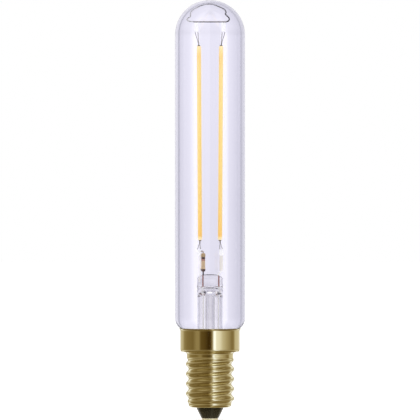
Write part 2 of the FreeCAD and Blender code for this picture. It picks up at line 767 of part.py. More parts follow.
# Top support: straight bridge wire, and the spring loop that steadies it under the dome
def make_top_support():
    height = size("bar_height")
    half = size("bar_half_length")
    bar = doc.addObject("Part::Cylinder", "BridgeWire")
    bar.Placement = FreeCAD.Placement(ORIGIN, FreeCAD.Rotation(V(0, 1, 0), 90))
    bind(bar, Radius=size("bar_diameter") / 2, Height=half * 2)
    place(bar, -half, 0, height)
    piece(bar, "bridge_wire")
    reach = size("loop_reach")
    end = half + size("loop_end")
    route = [(-half, height), (-end, height)]
    route += [(reach * across, size("dome_base") + reach * rise) for across, rise in LOOP_ROUTE]
    route += [(end, height), (half, height)]
    piece(bent_wire("SpringLoop", route, size("loop_diameter")), "spring_loop")


# Cap shell: rolled brass with a skirt, a plain neck, a knuckle thread and a turned-in lower edge
def shell_skirt():
    outer = size("skirt_diameter") / 2
    wall = size("cap_wall")
    inner = outer - wall
    top = size("skirt_top")
    flare = size("rim_flare")
    rim = top - size("rim_height")
    bottom = size("skirt_bottom")
    corner = size("skirt_corner")
    neck = size("cap_neck_diameter") / 2
    fillet = size("cap_neck_fillet")
    end = size("thread_top")
    corners = [
        (inner + flare, top),
        (inner, rim),
        (inner, bottom + corner),
        (outer - corner, bottom + wall),
        (neck - wall, bottom + wall),
        (neck - wall, end),
    ]
    corners.append((neck, end))
    corners += rounded(neck + fillet, bottom - fillet, fillet, 180, 90)
    corners += rounded(outer - corner, bottom + corner, corner, -90, 0)
    corners += [(outer, rim), (outer + flare, top)]
    return turned("ShellSkirt", corners)


def shell_lip():
    outer = size("thread_minor") / 2
    wall = size("cap_wall")
    end = size("thread_bottom")
    bottom = size("shell_bottom")
    lip = size("lip_diameter") / 2
    corner = end - bottom
    corners = [(lip, bottom)]
    corners += rounded(outer - corner, end, corner, -90, 0)
    corners += [(outer - wall, end), (outer - corner, bottom + wall), (lip, bottom + wall)]
    return turned("ShellLip", corners)


def eased(share):
    """A smooth rise from 0 to 1."""
    share = max(0.0, min(1.0, share))
    return share * share * (3 - 2 * share)


def thread_level(z):
    """The thread cut level at height z is very nearly a circle, and its centre runs round the axis."""
    major = float(size("thread_major")) / 2
    minor = float(size("thread_minor")) / 2
    neck = float(size("cap_neck_diameter")) / 2
    fade = float(size("thread_fade"))
    start = eased((z - float(size("thread_bottom"))) / fade)
    finish = eased((float(size("thread_top")) - z) / fade)
    mean = (major + minor) / 2
    radius = mean + (minor - mean) * (1 - start) + (neck - mean) * (1 - finish)
    swing = (major - minor) / 2 * start * finish
    turn = 2 * math.pi * (z - float(size("crest_height"))) / float(size("thread_pitch"))
    centre = V(swing * math.cos(turn), swing * math.sin(turn), z)
    return Part.Wire(Part.Circle(centre, UP, radius).toShape())


def shell_thread():
    """The threaded wall, as short bands between levels; its hidden bore is plain."""
    low = float(size("thread_bottom"))
    high = float(size("thread_top"))
    steps = math.ceil((high - low) / float(size("thread_pitch")) * THREAD_LEVELS)
    levels = [thread_level(low + (high - low) * step / steps) for step in range(steps + 1)]
    bore = float(size("shell_bore")) / 2
    item = doc.addObject("Part::Feature", "ShellThread")
    item.Shape = Part.makeLoft(levels, True, True).cut(Part.makeCylinder(bore, high))
    return item


def make_cap_shell():
    piece(fused("Shell", [shell_skirt(), shell_thread(), shell_lip()]), "cap_shell")


# Cap fittings: glass insulator, centre contact, solder and cement
def make_insulator():
    shank = size("shank_diameter") / 2
    lip = size("lip_diameter") / 2
    bottom = size("shell_bottom")
    seat = bottom + size("cap_wall")
    flange = size("insulator_flange_diameter") / 2
    top = size("insulator_top")
    corners = (
        (shank, size("contact_thickness")),
        (size("insulator_tip_diameter") / 2, size("contact_thickness")),
        (size("insulator_top_diameter") / 2, bottom),
        (lip, bottom),
        (lip, seat),
        (flange, seat),
        (flange, top),
        (shank, top),
    )
    piece(turned("Insulator", corners), "cap_insulator")


def make_contact():
    shank = size("shank_diameter") / 2
    bore = size("shank_bore") / 2
    radius = size("contact_diameter") / 2
    thickness = size("contact_thickness")
    edge = thickness / 2
    corners = (
        (bore, 0),
        (radius - edge, 0),
        (radius, edge),
        (radius, thickness),
        (shank, thickness),
        (shank, size("insulator_top")),
        (bore, size("insulator_top")),
    )
    piece(turned("Contact", corners), "centre_contact")
    piece(cylinder("ContactSolder", size("shank_bore"), 0, size("solder_depth")), "contact_solder")


def make_cement():
    inner = size("neck_diameter") / 2
    outer = size("skirt_diameter") / 2 - size("cap_wall")
    low = size("seal_height")
    top = size("cement_top")
    corners = ((inner, low), (outer, low), (outer, top), (inner, top))
    piece(turned("Cement", corners), "capping_cement")


# Driver in the cap: board, parts on both faces and the two supply wires
def make_driver():
    width = size("board_width")
    thickness = size("board_thickness")
    low = size("board_bottom")
    high = size("board_top")
    gap = size("component_gap")
    back = thickness / 2
    piece(box("Board", -width / 2, -back, low, width, thickness, high - low), "driver_board")
    can = size("capacitor_diameter")
    can_foot = low + gap
    can_y = back + can / 2
    capacitor = cylinder("Capacitor", can, can_foot, can_foot + size("capacitor_length"),
                         -size("capacitor_offset"), can_y)
    piece(capacitor, "smoothing_capacitor")
    depth = size("chip_body_depth")
    chip_height = size("chip_body_height")
    chip = box("DriverChip", -size("chip_body_width") / 2, -back - depth, low + gap,
               size("chip_body_width"), depth, chip_height)
    piece(chip, "driver_chip")
    row = low + gap * 2 + chip_height
    depth = size("rectifier_depth")
    left = -size("rectifier_width") + gap
    rectifier = box("Rectifier", left, -back - depth, row, size("rectifier_width"), depth,
                    size("rectifier_height"))
    piece(rectifier, "bridge_rectifier")
    fuse = size("fuse_diameter")
    fuse_x = gap * 2 + fuse / 2
    fuse_foot = high - size("fuse_length")
    resistor = cylinder("Fuse", fuse, fuse_foot, high, fuse_x, -back - fuse / 2)
    piece(resistor, "fusible_resistor")


def make_supply_wires():
    wire = size("lead_diameter")
    contact = cylinder("ContactWire", wire, size("solder_depth"), size("board_bottom"))
    piece(contact, "contact_wire")
    x = size("shell_wire_offset")
    rise = size("shell_wire_rise")
    wall_x = size("skirt_diameter") / 2 - size("cap_wall") - wire / 2
    route = ((x, size("board_top")), (x, rise), (wall_x, rise), (wall_x, size("seal_height")))
    piece(bent_wire("ShellWire", route, wire, size("bend_radius") * 2), "shell_wire")


def check(items):
    for item in doc.Objects:
        bad = [word for word in item.State if word in ("Invalid", "Error")]
        if bad:
            raise RuntimeError("%s: %s" % (item.Name, ", ".join(bad)))
    for item in items:
        if item.Shape.isNull() or not item.Shape.isValid() or not item.Shape.Solids:
            raise RuntimeError("%s has no sound solid" % item.Label)


fill_sheet()
make_envelope()
tube = make_exhaust_tube()
left_seal, left_lead = make_sealing_wire("left", -size("left_lead_offset"))
right_seal, right_lead = make_sealing_wire("right", size("right_lead_offset"))
legs = make_left_leg() + make_right_leg()
make_stem([left_seal, left_lead, right_seal, right_lead] + legs, tube)
make_filaments()
make_top_support()
make_cap_shell()
make_insulator()
make_contact()
make_cement()
make_driver()
make_supply_wires()
doc.recompute()
check(pieces)
os.makedirs("parts", exist_ok=True)
for item in pieces:
    item.Shape.exportStep("parts/%s.step" % item.Label)
    print("%-28s %d solid, %.2f mm3" % (item.Label, len(item.Shape.Solids), item.Shape.Volume))
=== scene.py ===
"""Tubular filament bulb with a small screw cap: surfaces, light and camera, in metres.

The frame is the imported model's: +Z up the bulb's axis, +X across the filaments, the viewer at -Y.
Turns are in degrees.
"""
import json
import math

import bpy
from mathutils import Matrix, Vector


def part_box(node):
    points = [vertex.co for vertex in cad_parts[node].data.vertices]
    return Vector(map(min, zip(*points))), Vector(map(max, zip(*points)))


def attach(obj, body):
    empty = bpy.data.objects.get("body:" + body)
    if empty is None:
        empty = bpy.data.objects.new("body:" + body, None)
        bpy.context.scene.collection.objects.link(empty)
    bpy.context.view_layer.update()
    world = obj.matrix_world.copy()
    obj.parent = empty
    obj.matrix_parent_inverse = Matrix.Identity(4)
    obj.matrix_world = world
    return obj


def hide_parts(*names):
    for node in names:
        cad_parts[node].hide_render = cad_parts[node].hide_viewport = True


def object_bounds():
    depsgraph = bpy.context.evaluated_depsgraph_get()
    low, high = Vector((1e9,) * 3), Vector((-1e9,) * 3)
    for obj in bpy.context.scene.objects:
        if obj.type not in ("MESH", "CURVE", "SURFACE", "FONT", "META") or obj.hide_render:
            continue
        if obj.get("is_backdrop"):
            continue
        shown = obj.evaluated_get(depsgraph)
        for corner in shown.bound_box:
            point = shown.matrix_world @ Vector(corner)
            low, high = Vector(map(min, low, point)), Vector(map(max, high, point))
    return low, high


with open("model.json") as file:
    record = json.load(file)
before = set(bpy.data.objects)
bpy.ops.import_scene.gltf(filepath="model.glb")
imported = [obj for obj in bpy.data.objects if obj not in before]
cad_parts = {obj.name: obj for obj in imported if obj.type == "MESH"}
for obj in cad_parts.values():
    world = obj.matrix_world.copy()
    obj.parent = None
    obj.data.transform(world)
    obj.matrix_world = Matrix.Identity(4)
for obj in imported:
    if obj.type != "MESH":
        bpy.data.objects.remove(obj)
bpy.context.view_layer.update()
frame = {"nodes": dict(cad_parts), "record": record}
nodes = frame["nodes"]

MM = 0.001
TURN = 2 * math.pi
# Extra points near the ends of a long run, and others at most a span apart, keep its shading straight
HOLD = 0.1 * MM
LONGEST_SPAN = 4 * MM
# Stands for a radius of nothing
TINY = 1e-6

# Glass
GLASS_WALL = 1.2 * MM
DOME_WALL = 0.9 * MM
SHOULDER_WALL = 0.6 * MM
SHOULDER_RADIUS = 3.7 * MM
SHOULDER_HEIGHT = 29.1 * MM
SHOULDER_TURN = 62
NECK_RADIUS = 7.75 * MM
NECK_TOP = 24.9 * MM
STEM_RADIUS = 3.6 * MM
STEM_WALL = 0.5 * MM
FLARE_TOP = 28.5 * MM
SEAL_TOP = 22.8 * MM
SEAL_EDGE = 0.3 * MM
PINCH_FOOT = 35.0 * MM
PRESS_FOOT = 38.7 * MM
PRESS_WIDTH = 7.4 * MM
PRESS_DEPTH = 2.7 * MM
PRESS_ARCH = 1.5 * MM
CAVITY_TOP = 38.2 * MM
CAVITY_WIDTH = 5.2 * MM
CAVITY_DEPTH = 1.1 * MM
CAVITY_ARCH = 1.2 * MM
TUBE_BORE = 1.5 * MM
TUBE_JOINT = 36.9 * MM
GLASS_SIDES = 320
STEM_SIDES = 160
# Power of the stem's levels: 2 is an ellipse, more is squarer
HOLLOW_POWER = 2.2
PRESS_POWER = 2.8
# Share of the full width that is left where the hollow and the press close at the top
HOLLOW_END = 0.01
PRESS_END = 0.02
# The exhaust tube's bore above its tip: millimetres from the axis, millimetres up
BORE_END = ((0.0, 2.2), (0.6, 2.4), (0.75, 3.0))
# Its joint with the press: times the tube's own radius, millimetres below the joint
JOINT_BORE = ((1.0, 0.8), (1.25, 0.0))
JOINT_SKIN = ((1.18, 0.0), (1.1, 0.35), (1.0, 1.0))
# Refraction
GLASS_INDEX = 1.5
TUBE_INDEX = 1.35
STEM_INDEX = 1.3
PRESS_INDEX = 1.58
STEM_PLAIN_INDEX = 1.28
INDEX_BLEND = 1 * MM

# Filaments and their supports
COAT_RADIUS = 0.6 * MM
COAT_EDGE = 0.28 * MM
COAT_FOOT = 2.87 * MM
COAT_HEAD = 3.2 * MM
CARRIER_END = 0.25 * MM
TAB_WIDTH = 1.1 * MM
TAB_NECK = 0.36 * MM
TAB_LEG = 0.23 * MM
TAB_HALF_DEPTH = 0.1 * MM
TAB_FORK_SHARE = 0.3
# The tab necks carry painted shade between these heights
PAINTED_SHADE_FOOT = 48.7 * MM
PAINTED_SHADE_HEAD = 110.8 * MM
TOP_STRIP = 3.9 * MM
TOP_STRIP_FOOT = 110.9 * MM
BASE_STRIP = 3.19 * MM
BASE_STRIP_HEAD = 48.55 * MM
LOOP_RADIUS = 0.18 * MM
RESISTOR_WAIST = 0.56 * MM
# Top support: millimetres from the axis, millimetres above the contact
LOOP_ROUTE = (
    (-4.75, 113.65), (-5.6, 113.72), (-6.35, 114.0), (-6.6, 114.4), (-6.2, 114.74), (-5.7, 115.05),
    (-5.6, 115.6), (-5.6, 116.2), (-5.3, 116.85), (-4.15, 117.62), (-2.6, 118.38), (-0.5, 118.84),
    (1.1, 118.64), (2.6, 118.02), (4.05, 117.3), (4.6, 116.5), (4.4, 115.85), (5.1, 115.15), (5.5, 114.6),
    (5.4, 114.0), (4.75, 113.65),
)

# Cap
SHEET = 0.3 * MM
SKIRT_RADIUS = 8.5 * MM
# Flared rim: millimetres out from the skirt's inner side, millimetres down from the top
RIM_ROUTE = ((0.0, 0.5), (0.35, 0.05), (0.43, 0.0), (0.59, 0.0), (0.65, 0.08), (0.4, 0.375), (0.3, 0.55))
SKIRT_FOOT = 19.4 * MM
SKIRT_CORNER = 0.8 * MM
CAP_NECK = 6.65 * MM
CAP_NECK_FILLET = 0.65 * MM
THREAD_MAJOR = 13.89 * MM
THREAD_MINOR = 12.29 * MM
THREAD_PITCH = 2.822 * MM
THREAD_TOP = 18.0 * MM
THREAD_FOOT = 4.6 * MM
THREAD_FADE = 1.3 * MM
THREAD_LEVELS = 120
SHELL_SIDES = 144
CREST_HEIGHT = 14.6 * MM
LIP_RADIUS = 4.15 * MM
LIP_GAP = 0.05 * MM
LIP_TURN = 9
INSULATOR_TOP = 3.85 * MM
INSULATOR_BAND = 0.35 * MM
INSULATOR_DRAFT = 0.1 * MM
INSULATOR_STEP = 0.02 * MM
INSULATOR_TIP = 2.5 * MM
TIP_EDGE = 0.25 * MM
TIP_EDGE_HEIGHT = 0.18 * MM
SHANK_RADIUS = 0.9 * MM
SHANK_BORE = 0.55 * MM
CONTACT_THICKNESS = 0.5 * MM
CONTACT_EDGE = 0.2 * MM
CONTACT_DIMPLE = 0.15 * MM
CONTACT_DIMPLE_DEPTH = 0.05 * MM

# Steps in round forms
DOME_STEPS = 32
FINE_STEPS = 14
BEND_STEPS = 12
CORNER_STEPS = 8
EDGE_STEPS = 6
ROUTE_STEPS = 8

# Wires with a material of their own, all with painted light: a painted glow, painted shade, and a painted
# highlight over painted shade
WIRES_WITH_PAINTED_LIGHT = {
    "left_outer_lead": "wire_with_painted_glow",
    "right_outer_lead": "wire_with_painted_glow",
    "left_support_wire": "wire_with_painted_glow",
    "right_resistor_lower_lead": "wire_with_painted_glow",
    "right_resistor_upper_lead": "wire_with_painted_glow",
    "left_resistor_lower_lead": "wire_with_painted_shade",
    "bridge_wire": "bridge_with_painted_light",
}

# View
CAMERA_DISTANCE = 2.0
SENSOR = 36.0
CLIP_START = 0.01
FLOOR_REACH = 6.0
FLOOR_DROP = 0.02 * MM
FLOOR_GLOW = 0.3

# Studio: how bright it is round the part, in degrees from the viewer's side towards the right.
# The first map is seen through glass and is the same all round the line of sight, the second is
# mirrored in glass, and the others in brass: level, and well above or below level.
THROUGH_STUDIO = (
    (-180, 1.0), (-175, 0.97), (-171, 0.92), (-166, 0.87), (-157, 0.84), (-148, 0.79), (-142, 0.72),
    (-139, 0.42), (-134, 0.4), (-130, 0.58), (-118, 0.7), (-75, 0.7), (-64, 2.1), (-42, 2.1), (-32, 0.7),
    (32, 0.7), (42, 2.1), (60, 2.1), (70, 0.7), (118, 0.7), (130, 0.6), (134, 0.52), (139, 0.52),
    (142, 0.66), (157, 0.73), (171, 0.83), (175, 0.94),
)
MIRRORED_STUDIO = (
    (-180, 1.0), (-166, 0.87), (-148, 0.79), (-130, 0.6), (-100, 0.4), (-80, 0.24), (-72, 0.5), (-63, 1.3),
    (-43, 1.3), (-35, 0.3), (-20, 0.08), (20, 0.08), (35, 0.3), (43, 1.2), (58, 1.3), (66, 0.6), (75, 0.2),
    (100, 0.38), (130, 0.6), (148, 0.68), (171, 0.82), (175, 0.95),
)
BRASS_STUDIO = (
    (-180, 0.95), (-157, 0.68), (-131, 0.56), (-118, 0.32), (-102, 0.25), (-70, 0.2), (-54, 0.32),
    (-44, 0.32), (-36, 0.13), (-20, 0.1), (-4, 0.04), (3, 0.07), (10, 0.36), (16, 1.3), (20, 1.3),
    (25, 0.96), (39, 0.86), (51, 0.62), (69, 0.45), (95, 0.24), (106, 0.3), (115, 0.6), (139, 0.68),
    (180, 0.95),
)
STEEP_STUDIO = (
    (-180, 1.1), (-140, 0.9), (-100, 0.56), (-60, 0.5), (-35, 0.42), (-12, 0.34), (0, 0.44), (12, 0.8),
    (22, 1.6), (30, 1.45), (42, 0.95), (60, 0.64), (100, 0.56), (140, 0.9), (180, 1.1),
)
# How they change from straight down (-1) through level (0) to straight up (1): in brass away from level,
# through glass, and for the plain light on matt pieces
STEEP_FADE = (
    (-1.0, 0.4), (-0.7, 0.28), (-0.5, 0.32), (-0.38, 0.95), (-0.3, 0.95), (-0.18, 0.45), (0.0, 0.5),
    (0.18, 0.42), (0.3, 1.0), (0.4, 1.0), (0.52, 0.4), (0.75, 0.32), (0.9, 0.8), (1.0, 0.9),
)
GLASS_FADE = ((-1.0, 0.6), (-0.1, 0.9), (-0.014, 0.938), (0.0, 0.94), (0.02, 1.0), (1.0, 0.95))
SOFT_FADE = ((-1.0, 0.85), (0.0, 0.97), (1.0, 1.0))
SOFT_LEVEL = 1.15
BRIGHTEST = 2.2
# Brass turns from the level map to the steep one between these slopes
STEEP_FROM = 0.08
STEEP_TO = 0.16
# Rays that go down through glass meet a plain level, in full from the second slope on
PLAIN_LEVEL = 0.82
PLAIN_FROM = -0.1
PLAIN_TO = -0.22

finishes = {}


# Geometry helpers
def mesh_piece(name, vertices, faces, material, replaced, sharp):
    """A smooth-shaded mesh that stands for the named nodes and moves with the part."""
    mesh = bpy.data.meshes.new(name)
    mesh.from_pydata([tuple(point) for point in vertices], [], faces)
    mesh.validate()
    mesh.update()
    mesh.shade_smooth()
    mesh.set_sharp_from_angle(angle=math.radians(sharp))
    piece = bpy.data.objects.new(name, mesh)
    bpy.context.scene.collection.objects.link(piece)
    mesh.materials.append(material)
    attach(piece, "root")
    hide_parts(*replaced)
    return piece


def slot_of(node):
    return next(row["material_slot"] for row in frame["record"]["subparts"] if row["node"] == node)


def rings_mesh(rings, closed_start=True, closed_end=True):
    """Vertices and faces of a skin over rings that have the same number of points."""
    count = len(rings[0])
    vertices = [point for ring in rings for point in ring]
    faces = []
    for level in range(len(rings) - 1):
        low = level * count
        for side in range(count):
            onward = (side + 1) % count
            faces.append((low + side, low + onward, low + count + onward, low + count + side))
    if closed_start:
        faces.append(tuple(range(count))[::-1])
    if closed_end:
        faces.append(tuple(range(len(vertices) - count, len(vertices))))
    return vertices, faces


def circle(radius, z, sides):
    angles = [TURN * side / sides for side in range(sides)]
    return [Vector((radius * math.cos(angle), radius * math.sin(angle), z)) for angle in angles]


def arc(x, z, radius, first, last, steps):
    """Outline points on an arc, angles in degrees."""
    angles = [math.radians(first + (last - first) * step / steps) for step in range(steps + 1)]
    return [(x + radius * math.cos(angle), z + radius * math.sin(angle)) for angle in angles]


def held_straight(outline):
    """The outline with a point close to each end of its long runs, so that they shade as straight."""
    held = [outline[0]]
    for (x0, z0), (x1, z1) in zip(outline, outline[1:]):
        length = math.hypot(x1 - x0, z1 - z0)
        if length > 4 * HOLD:
            spans = math.ceil(length / LONGEST_SPAN)
            inner = [step / spans for step in range(1, spans)]
            for share in [HOLD / length] + inner + [1 - HOLD / length]:
                held.append((between(x0, x1, share), between(z0, z1, share)))
        held.append((x1, z1))
    return held


def lathe(name, outline, material, replaced, sides, sharp, closed=False):
    """A solid of revolution about Z. Outline points run upwards on the outside."""
    rings = [circle(max(radius, TINY), z, sides) for radius, z in held_straight(outline)]
    if closed:
        rings.append(rings[0])
    vertices, faces = rings_mesh(rings, not closed, not closed)
    if closed:
        vertices, faces = merged_ends(vertices, faces, sides)
    return mesh_piece(name, vertices, faces, material, replaced, sharp)


def merged_ends(vertices, faces, sides):
    """The last ring is the first one again."""
    kept = len(vertices) - sides
    faces = [tuple(number - kept if number >= kept else number for number in face) for face in faces]
    return vertices[:kept], faces


def swept(name, points, radii, material, replaced, sides, sharp):
    """A round rod along points, with a radius at each."""
    rings = []
    turns = [TURN * step / sides for step in range(sides)]
    side = Vector((0, 1, 0))
    for number, point in enumerate(points):
        before = points[max(number - 1, 0)]
        after = points[min(number + 1, len(points) - 1)]
        along = (after - before).normalized()
        across = side.cross(along).normalized()
        side = along.cross(across).normalized()
        rings.append([point + (across * math.cos(turn) + side * math.sin(turn)) * radii[number]
                      for turn in turns])
    vertices, faces = rings_mesh(rings)
    return mesh_piece(name, vertices, faces, material, replaced, sharp)


def smooth_path(points, steps):
    """A curve through points, by Catmull-Rom spans."""
    points = [Vector(point) for point in points]
    padded = [points[0] * 2 - points[1]] + points + [points[-1] * 2 - points[-2]]
    path = []
    for number in range(1, len(padded) - 2):
        a, b, c, d = padded[number - 1:number + 3]
        for step in range(steps):
            t = step / steps
            path.append(0.5 * (b * 2 + (c - a) * t + (a * 2 - b * 5 + c * 4 - d) * t * t
                               + (b * 3 - a - c * 3 + d) * t ** 3))
    path.append(points[-1])
    return path


def between(first, last, share):
    return first + (last - first) * share


def eased(share):
    """0 to 1 with a soft start and a soft end."""
    share = max(0.0, min(1.0, share))
    return share * share * (3 - 2 * share)


# Material helpers
class Nodes:
    """Short ways to add nodes to a node tree."""

    def __init__(self, tree):
        self.tree = tree

    def node(self, kind, **values):
        made = self.tree.nodes.new("ShaderNode" + kind)
        for name, value in values.items():
            setattr(made, name, value)
        return made

    def link(self, source, target):
        self.tree.links.new(source, target)

    def reckon(self, operation, *values):
        made = self.node("Math", operation=operation)
        for slot, value in zip(made.inputs, values):
            self.feed(value, slot)
        return made.outputs[0]

    def feed(self, value, slot):
        """A number or colour is set, anything else is linked."""
        if isinstance(value, (int, float, tuple)):
            slot.default_value = value
        else:
            self.link(value, slot)

    def spread(self, source, low, high, first=0.0, last=1.0):
        """The first value at one end of a range and the last at the other."""
        made = self.node("MapRange")
        self.link(source, made.inputs["Value"])
        for name, value in (("From Min", low), ("From Max", high), ("To Min", first), ("To Max", last)):
            made.inputs[name].default_value = value
        return made.outputs["Result"]

    def ramp(self, source, stops):
        """Colours at positions, read by a 0 to 1 value."""
        made = self.node("ValToRGB")
        band = made.color_ramp
        while len(band.elements) < len(stops):
            band.elements.new(0.5)
        for element, (position, colour) in zip(band.elements, stops):
            element.position = position
            element.color = (*colour, 1.0)
        self.link(source, made.inputs["Fac"])
        return made.outputs["Color"]

    def mix(self, share, first, second, blend="MIX"):
        made = self.node("Mix", data_type="RGBA", blend_type=blend)
        for name, value in (("Factor", share), ("A", first), ("B", second)):
            self.feed(value, made.inputs[name])
        return made.outputs["Result"]


class Shader(Nodes):
    """A material with one Principled shader."""

    def __init__(self, name, colour, metallic=0.0, roughness=0.5, **extra):
        self.material = bpy.data.materials.new(name)
        self.material.use_nodes = True
        super().__init__(self.material.node_tree)
        self.surface = self.tree.nodes["Principled BSDF"]
        self.set(**{"Base Color": (*colour, 1.0), "Metallic": metallic, "Roughness": roughness})
        self.set(**extra)
        finishes[name] = self.material

    def set(self, **values):
        for name, value in values.items():
            self.surface.inputs[name].default_value = value

    def drive(self, source, *names):
        """Link a colour or value to the shader's own sockets."""
        for name in names:
            self.link(source, self.surface.inputs[name])

    def along(self, low, high, axis="Z", first=0.0, last=1.0):
        """The first value at one place along an axis of the part and the last at another."""
        split = self.node("SeparateXYZ")
        self.link(self.node("TexCoord").outputs["Object"], split.inputs[0])
        return self.spread(split.outputs[axis], low, high, first, last)

    def noise(self, scale, stretch):
        sized = self.node("Mapping")
        grain = self.node("TexNoise")
        self.link(self.node("TexCoord").outputs["Object"], sized.inputs["Vector"])
        sized.inputs["Scale"].default_value = stretch
        self.link(sized.outputs["Vector"], grain.inputs["Vector"])
        grain.inputs["Scale"].default_value = scale
        grain.inputs["Detail"].default_value = 3.0
        return grain.outputs["Fac"]

    def bump(self, source, strength, distance):
        made = self.node("Bump")
        made.inputs["Strength"].default_value = strength
        made.inputs["Distance"].default_value = distance
        self.link(source, made.inputs["Height"])
        self.drive(made.outputs["Normal"], "Normal")


def glass(name, colour, index):
    return Shader(name, colour, roughness=0.0, **{"Transmission Weight": 1.0, "IOR": index})


def glowing(name, colour, roughness, glow, strength):
    """A pale surface with a painted glow of its own, for pieces that light reaches only through glass;
    they are no lamps.
    """
    emission = {"Emission Color": (*glow, 1.0), "Emission Strength": strength}
    return Shader(name, colour, 0.0, roughness, **emission)


# Surfaces
def make_materials():
    """Plain ones by name, colour, metallic and roughness, then those with nodes of their own."""
    glass("clear_glass", (0.968, 0.964, 1.0), GLASS_INDEX)
    glass("tube_glass", (0.998, 0.994, 0.99), TUBE_INDEX)
    brass = Shader("cap_brass", (0.84, 0.78, 0.53), 1.0, 0.08)
    brass.bump(brass.noise(scale=160, stretch=(1, 1, 14)), strength=0.05, distance=0.05 * MM)
    Shader("contact_brass", (0.95, 0.92, 0.68), 0.45, 0.4)
    Shader("nickel_wire", (0.60, 0.57, 0.53), 1.0, 0.25)
    # Pale matt leads with a painted glow: painted light in place of the metal's reflections
    glowing("wire_with_painted_glow", (0.88, 0.87, 0.85), 0.4, (0.88, 0.86, 0.88), 0.4)
    # A lead painted nearly black: painted shade in place of the metal's dark reflections
    Shader("wire_with_painted_shade", (0.09, 0.08, 0.085), 0.0, 0.4)
    Shader("dumet", (0.78, 0.33, 0.27), 0.0, 0.35)
    Shader("carrier_ceramic", (0.10, 0.085, 0.07), 0.0, 0.5)
    Shader("led_chip", (0.62, 0.60, 0.42), 0.0, 0.2)
    # Pale ceramic with a painted glow of its own
    glowing("pale_ceramic", (0.98, 0.93, 0.84), 0.45, (0.98, 0.93, 0.84), 0.15)
    Shader("solder", (0.62, 0.62, 0.63), 1.0, 0.35)
    # Cement, pale of its own, with a painted glow
    glowing("cement", (0.88, 0.86, 0.87), 0.85, (0.86, 0.84, 0.92), 0.5)
    Shader("board", (0.10, 0.30, 0.14), 0.0, 0.5)
    Shader("capacitor_sleeve", (0.03, 0.03, 0.035), 0.0, 0.4)
    Shader("black_resin", (0.025, 0.025, 0.025), 0.0, 0.45)
    Shader("fuse_body", (0.22, 0.36, 0.22), 0.0, 0.5)
    make_stem_glass()
    make_black_glass()
    make_phosphor()
    make_tab_material()
    make_spring_material()
    make_bridge_material()
    make_resistor_material()


def make_stem_glass():
    """Clear in the tube, with more sparkle in the press. The shader's own index is the plain one. Tools
    that read no nodes take the plain index.
    """
    low, high = PINCH_FOOT - INDEX_BLEND, PINCH_FOOT + INDEX_BLEND
    body = glass("stem_glass", (0.998, 0.994, 0.985), STEM_PLAIN_INDEX)
    body.drive(body.along(low, high, first=STEM_INDEX, last=PRESS_INDEX), "IOR")


def make_black_glass():
    """Nearly black, with painted light: painted shade at the top and a little paler towards the contact.
    """
    low, high = (corner.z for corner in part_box("cap_insulator"))
    body = Shader("black_glass", (0.023, 0.021, 0.014), 0.0, 0.2)
    stops = ((0.0, (0.036, 0.031, 0.02)), (0.6, (0.014, 0.012, 0.006)), (1.0, (0.01, 0.008, 0.003)))
    body.drive(body.ramp(body.along(low, high), stops), "Base Color")


def make_phosphor():
    """Warm phosphor with a painted glow of its own, paler towards the top and at the lower end."""
    low, high = (corner.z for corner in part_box("right_filament_coat"))
    body = Shader("phosphor", (1.0, 0.78, 0.36), 0.0, 0.5, **{"Emission Strength": 0.42})
    stops = ((0.0, (1.0, 0.84, 0.5)), (0.008, (1.0, 0.8, 0.42)), (0.022, (0.94, 0.565, 0.11)),
             (0.05, (0.95, 0.59, 0.12)), (0.2, (0.96, 0.66, 0.165)), (0.46, (0.97, 0.695, 0.19)),
             (0.72, (0.97, 0.71, 0.215)), (0.87, (0.97, 0.715, 0.24)), (0.945, (0.96, 0.66, 0.2)),
             (0.975, (0.98, 0.73, 0.29)), (1.0, (1.0, 0.79, 0.4)))
    body.drive(body.ramp(body.along(low, high), stops), "Base Color", "Emission Color")


def make_tab_material():
    """Flat tabs with painted light: white with a painted glow on the broad strips, and painted shade on
    the darker necks next to the filament.
    """
    low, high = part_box("left_base_tab")[0].z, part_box("left_top_tab")[1].z
    broad_foot = (PAINTED_SHADE_FOOT - low) / (high - low)
    broad_head = (PAINTED_SHADE_HEAD - low) / (high - low)
    painted_light = (1.0, 1.0, 1.0)
    painted_shade = (0.2, 0.18, 0.19)
    # The tabs' emission is a painted glow
    body = Shader("tab_steel", painted_light, 0.0, 0.3, **{"Emission Strength": 0.3})
    change = 0.004
    stops = ((0.0, painted_light), (broad_foot, painted_light), (broad_foot + change, painted_shade), (broad_head - change, painted_shade),
             (broad_head, painted_light), (1.0, painted_light))
    body.drive(body.ramp(body.along(low, high), stops), "Base Color", "Emission Color")


def make_spring_material():
    """Spring wire: a painted highlight on the left, where it shows the light, and painted shade on the
    right.
    """
    low, high = (corner.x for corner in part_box("spring_loop"))
    body = Shader("spring_steel", (0.5, 0.5, 0.5), 0.2, 0.45)
    stops = ((0.0, (1.0, 1.0, 1.0)), (0.14, (0.9, 0.9, 0.92)), (0.3, (0.5, 0.49, 0.52)),
             (0.7, (0.16, 0.155, 0.17)), (1.0, (0.04, 0.035, 0.04)))
    body.drive(body.ramp(body.along(low, high, "X"), stops), "Base Color")


def make_bridge_material():
    """A drawn wire with a painted highlight on top and painted shade underneath."""
    low, high = (corner.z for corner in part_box("bridge_wire"))
    body = Shader("bridge_with_painted_light", (0.5, 0.48, 0.52), 0.0, 0.4)
    painted_shade = (0.17, 0.155, 0.21)
    painted_light = (0.95, 0.9, 0.88)
    stops = ((0.0, painted_shade), (0.55, painted_shade), (0.75, painted_light), (1.0, painted_light))
    body.drive(body.ramp(body.along(low, high), stops), "Base Color")


